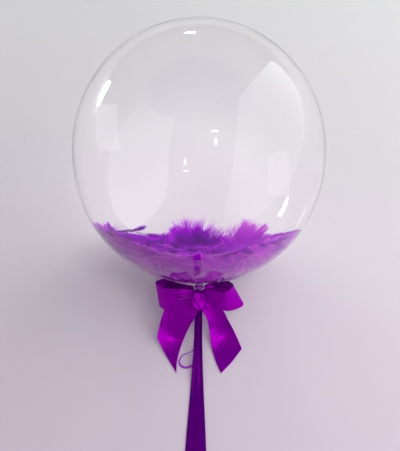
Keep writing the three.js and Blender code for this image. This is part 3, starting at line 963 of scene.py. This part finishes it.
tie = build("tie_winding", tie_parts(), curl_mat, "curling_ribbon")
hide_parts("neck_tie")

bow_area = area_of(bow) / 2
long_area = area_of(streamer) / 2
print("bow area", bow_area, "length at 60 mm", bow_area / 0.06, "long", long_area, long_length, "curl", curl_way.length)


# ---- the floor, the light ----
def floor_material():
    k = Nodes("floor")
    n = k.noise(1.3, 3, 0.5)
    sep = k.new("ShaderNodeSeparateXYZ")
    k.link(k.new("ShaderNodeTexCoord").outputs["Object"], sep.inputs[0])
    # the floor's tint runs from lilac near the camera to greenish white far off, and it is darker near the camera: that
    # darkening is painted shade
    far = k.ramp(k.math("ADD", k.math("MULTIPLY", sep.outputs["Y"], 0.8), 0.45), [(0.0, (0.80, 0.70, 0.79)), (0.45, (0.82, 0.77, 0.82)), (1.0, (0.86, 0.88, 0.86))])
    k.link(k.mix(1.0, far, k.ramp(n, [(0.3, (0.96, 0.96, 0.96)), (0.7, (1, 1, 1))]), "MULTIPLY"), k.b.inputs["Base Color"])
    k.set(Roughness=0.75)
    return k.m


m = bpy.data.meshes.new("floor")
m.from_pydata([(-6, -6, 0), (6, -6, 0), (6, 6, 0), (-6, 6, 0)], [], [(0, 1, 2, 3)])
m.materials.append(floor_material())
floor = bpy.data.objects.new("floor", m)
scene.collection.objects.link(floor)

world = bpy.data.worlds.new("studio")
world.use_nodes = True
bg = next(n for n in world.node_tree.nodes if n.type == "BACKGROUND")
bg.inputs["Color"].default_value = (0.96, 0.93, 1.0, 1)
bg.inputs["Strength"].default_value = 0.42
scene.world = world


def mirror(px, py, far):
    """Where the film's mirror image of a thing at that picture point stands, far metres off."""
    eye = AIM + DISTANCE * BACK
    d = unit(RIGHT * (px - 200) * 0.002 + UP * (225.5 - py) * 0.002 - BACK * DISTANCE)
    c = P(0, 0, 0)
    axis = unit(P(0, 1, 0) - P(0, 0, 0))
    scale = BUBBLE_R / BUBBLE_UP

    def squeeze(x):
        return x + axis * (x @ axis) * (scale - 1)

    o, e = squeeze(eye - c), squeeze(d)
    b, a, k = o @ e, e @ e, o @ o - (BUBBLE_R / 1000) ** 2
    disc = b * b - a * k
    t = (-b - math.sqrt(max(disc, 0))) / a
    hit = eye + d * t
    n = unit(squeeze(squeeze(hit - c)))
    return hit + far * unit(d - 2 * (d @ n) * n)


def panel(name, corners, far, radiance, colour=(1, 1, 1)):
    """A soft light whose mirror image in the film fills that quarter of the picture: left-top, right-top, right-low, left-low."""
    c = [mirror(*p, far) for p in corners]
    across = (c[1] + c[2] - c[0] - c[3]) / 2
    down = (c[3] + c[2] - c[0] - c[1]) / 2
    middle = sum(c) / 4
    x = unit(across)
    y = unit(down - x * (down @ x))
    z = np.cross(x, y)
    if z @ (P(0, 0, 0) - middle) > 0:  # a lamp shines along its own -z
        y, z = -y, -z
    light = bpy.data.lights.new(name, "AREA")
    light.shape = "RECTANGLE"
    light.size = float(np.linalg.norm(across))
    light.size_y = float(abs(down @ y))
    light.color = colour
    light.energy = radiance * math.pi * light.size * light.size_y
    o = bpy.data.objects.new(name, light)
    from mathutils import Matrix

    o.matrix_world = Matrix(((x[0], y[0], z[0], middle[0]), (x[1], y[1], z[1], middle[1]), (x[2], y[2], z[2], middle[2]), (0, 0, 0, 1)))
    o.visible_camera = False
    scene.collection.objects.link(o)
    print(name, "size", round(light.size, 2), round(light.size_y, 2), "at", np.round(middle, 2), "energy", round(light.energy, 1))
    return o


def glow(name, left, right, far, radiance, colour, low=0.35):
    """A soft box whose mirror image in the film lies between two lines of picture points; it fades downwards."""
    rows, cols = len(left), 7
    pts = [mirror(l[0] + (r[0] - l[0]) * t, l[1] + (r[1] - l[1]) * t, far) for l, r in zip(left, right) for t in np.linspace(0, 1, cols)]
    m = bpy.data.meshes.new(name)
    m.from_pydata([tuple(p) for p in pts], [], [tuple(int(k) for k in q) for q in grid(rows, cols)])
    layer = m.uv_layers.new(name="UVMap")
    for loop in m.loops:
        i, j = divmod(loop.vertex_index, cols)
        layer.data[loop.index].uv = (j / (cols - 1), i / (rows - 1))
    k = bpy.data.materials.new(name)
    k.use_nodes = True
    t = k.node_tree
    t.nodes.clear()
    coords = t.nodes.new("ShaderNodeTexCoord")
    sep = t.nodes.new("ShaderNodeSeparateXYZ")
    fade = t.nodes.new("ShaderNodeMapRange")
    emit = t.nodes.new("ShaderNodeEmission")
    out = t.nodes.new("ShaderNodeOutputMaterial")
    fade.inputs["To Min"].default_value = radiance
    fade.inputs["To Max"].default_value = radiance * low
    emit.inputs["Color"].default_value = (*colour, 1)
    t.links.new(coords.outputs["UV"], sep.inputs[0])
    t.links.new(sep.outputs["Y"], fade.inputs["Value"])
    t.links.new(fade.outputs[0], emit.inputs["Strength"])
    t.links.new(emit.outputs[0], out.inputs["Surface"])
    m.materials.append(k)
    o = bpy.data.objects.new(name, m)
    o.visible_camera = False
    o.visible_shadow = False
    scene.collection.objects.link(o)
    return o


glow("soft_box_right", [(271, 62), (256, 78), (240, 97), (237, 120), (236, 143), (232, 168), (226, 196), (222, 214)],
     [(274, 62), (288, 76), (300, 94), (307, 120), (310, 143), (309, 168), (303, 190), (296, 208)], 2.2, 2.6, (1.0, 1.0, 1.0), 0.45)
glow("soft_box_left", [(88, 103), (87, 128), (90, 153)], [(118, 105), (118, 128), (120, 150)], 2.6, 1.8, (1.0, 0.92, 0.97), 1.0)
panel("strip_left", [(102, 81), (106, 81), (106, 104), (102, 104)], 2.6, 45.0, (1.0, 1.0, 1.0))
panel("glint_a", [(186, 31.5), (195, 31.5), (195, 33.5), (186, 33.5)], 2.6, 60.0)
panel("glint_b", [(211, 130), (218, 130), (218, 132), (211, 132)], 3.0, 60.0)
panel("glint_c", [(214, 138), (217, 138), (217, 145), (214, 145)], 3.0, 12.0)
panel("glint_d", [(234, 25), (240, 27), (240, 29), (234, 27)], 2.6, 40.0)

scene.view_settings.view_transform = "Standard"
scene.view_settings.look = "None"
scene.view_settings.exposure = 0
scene.view_settings.gamma = 1
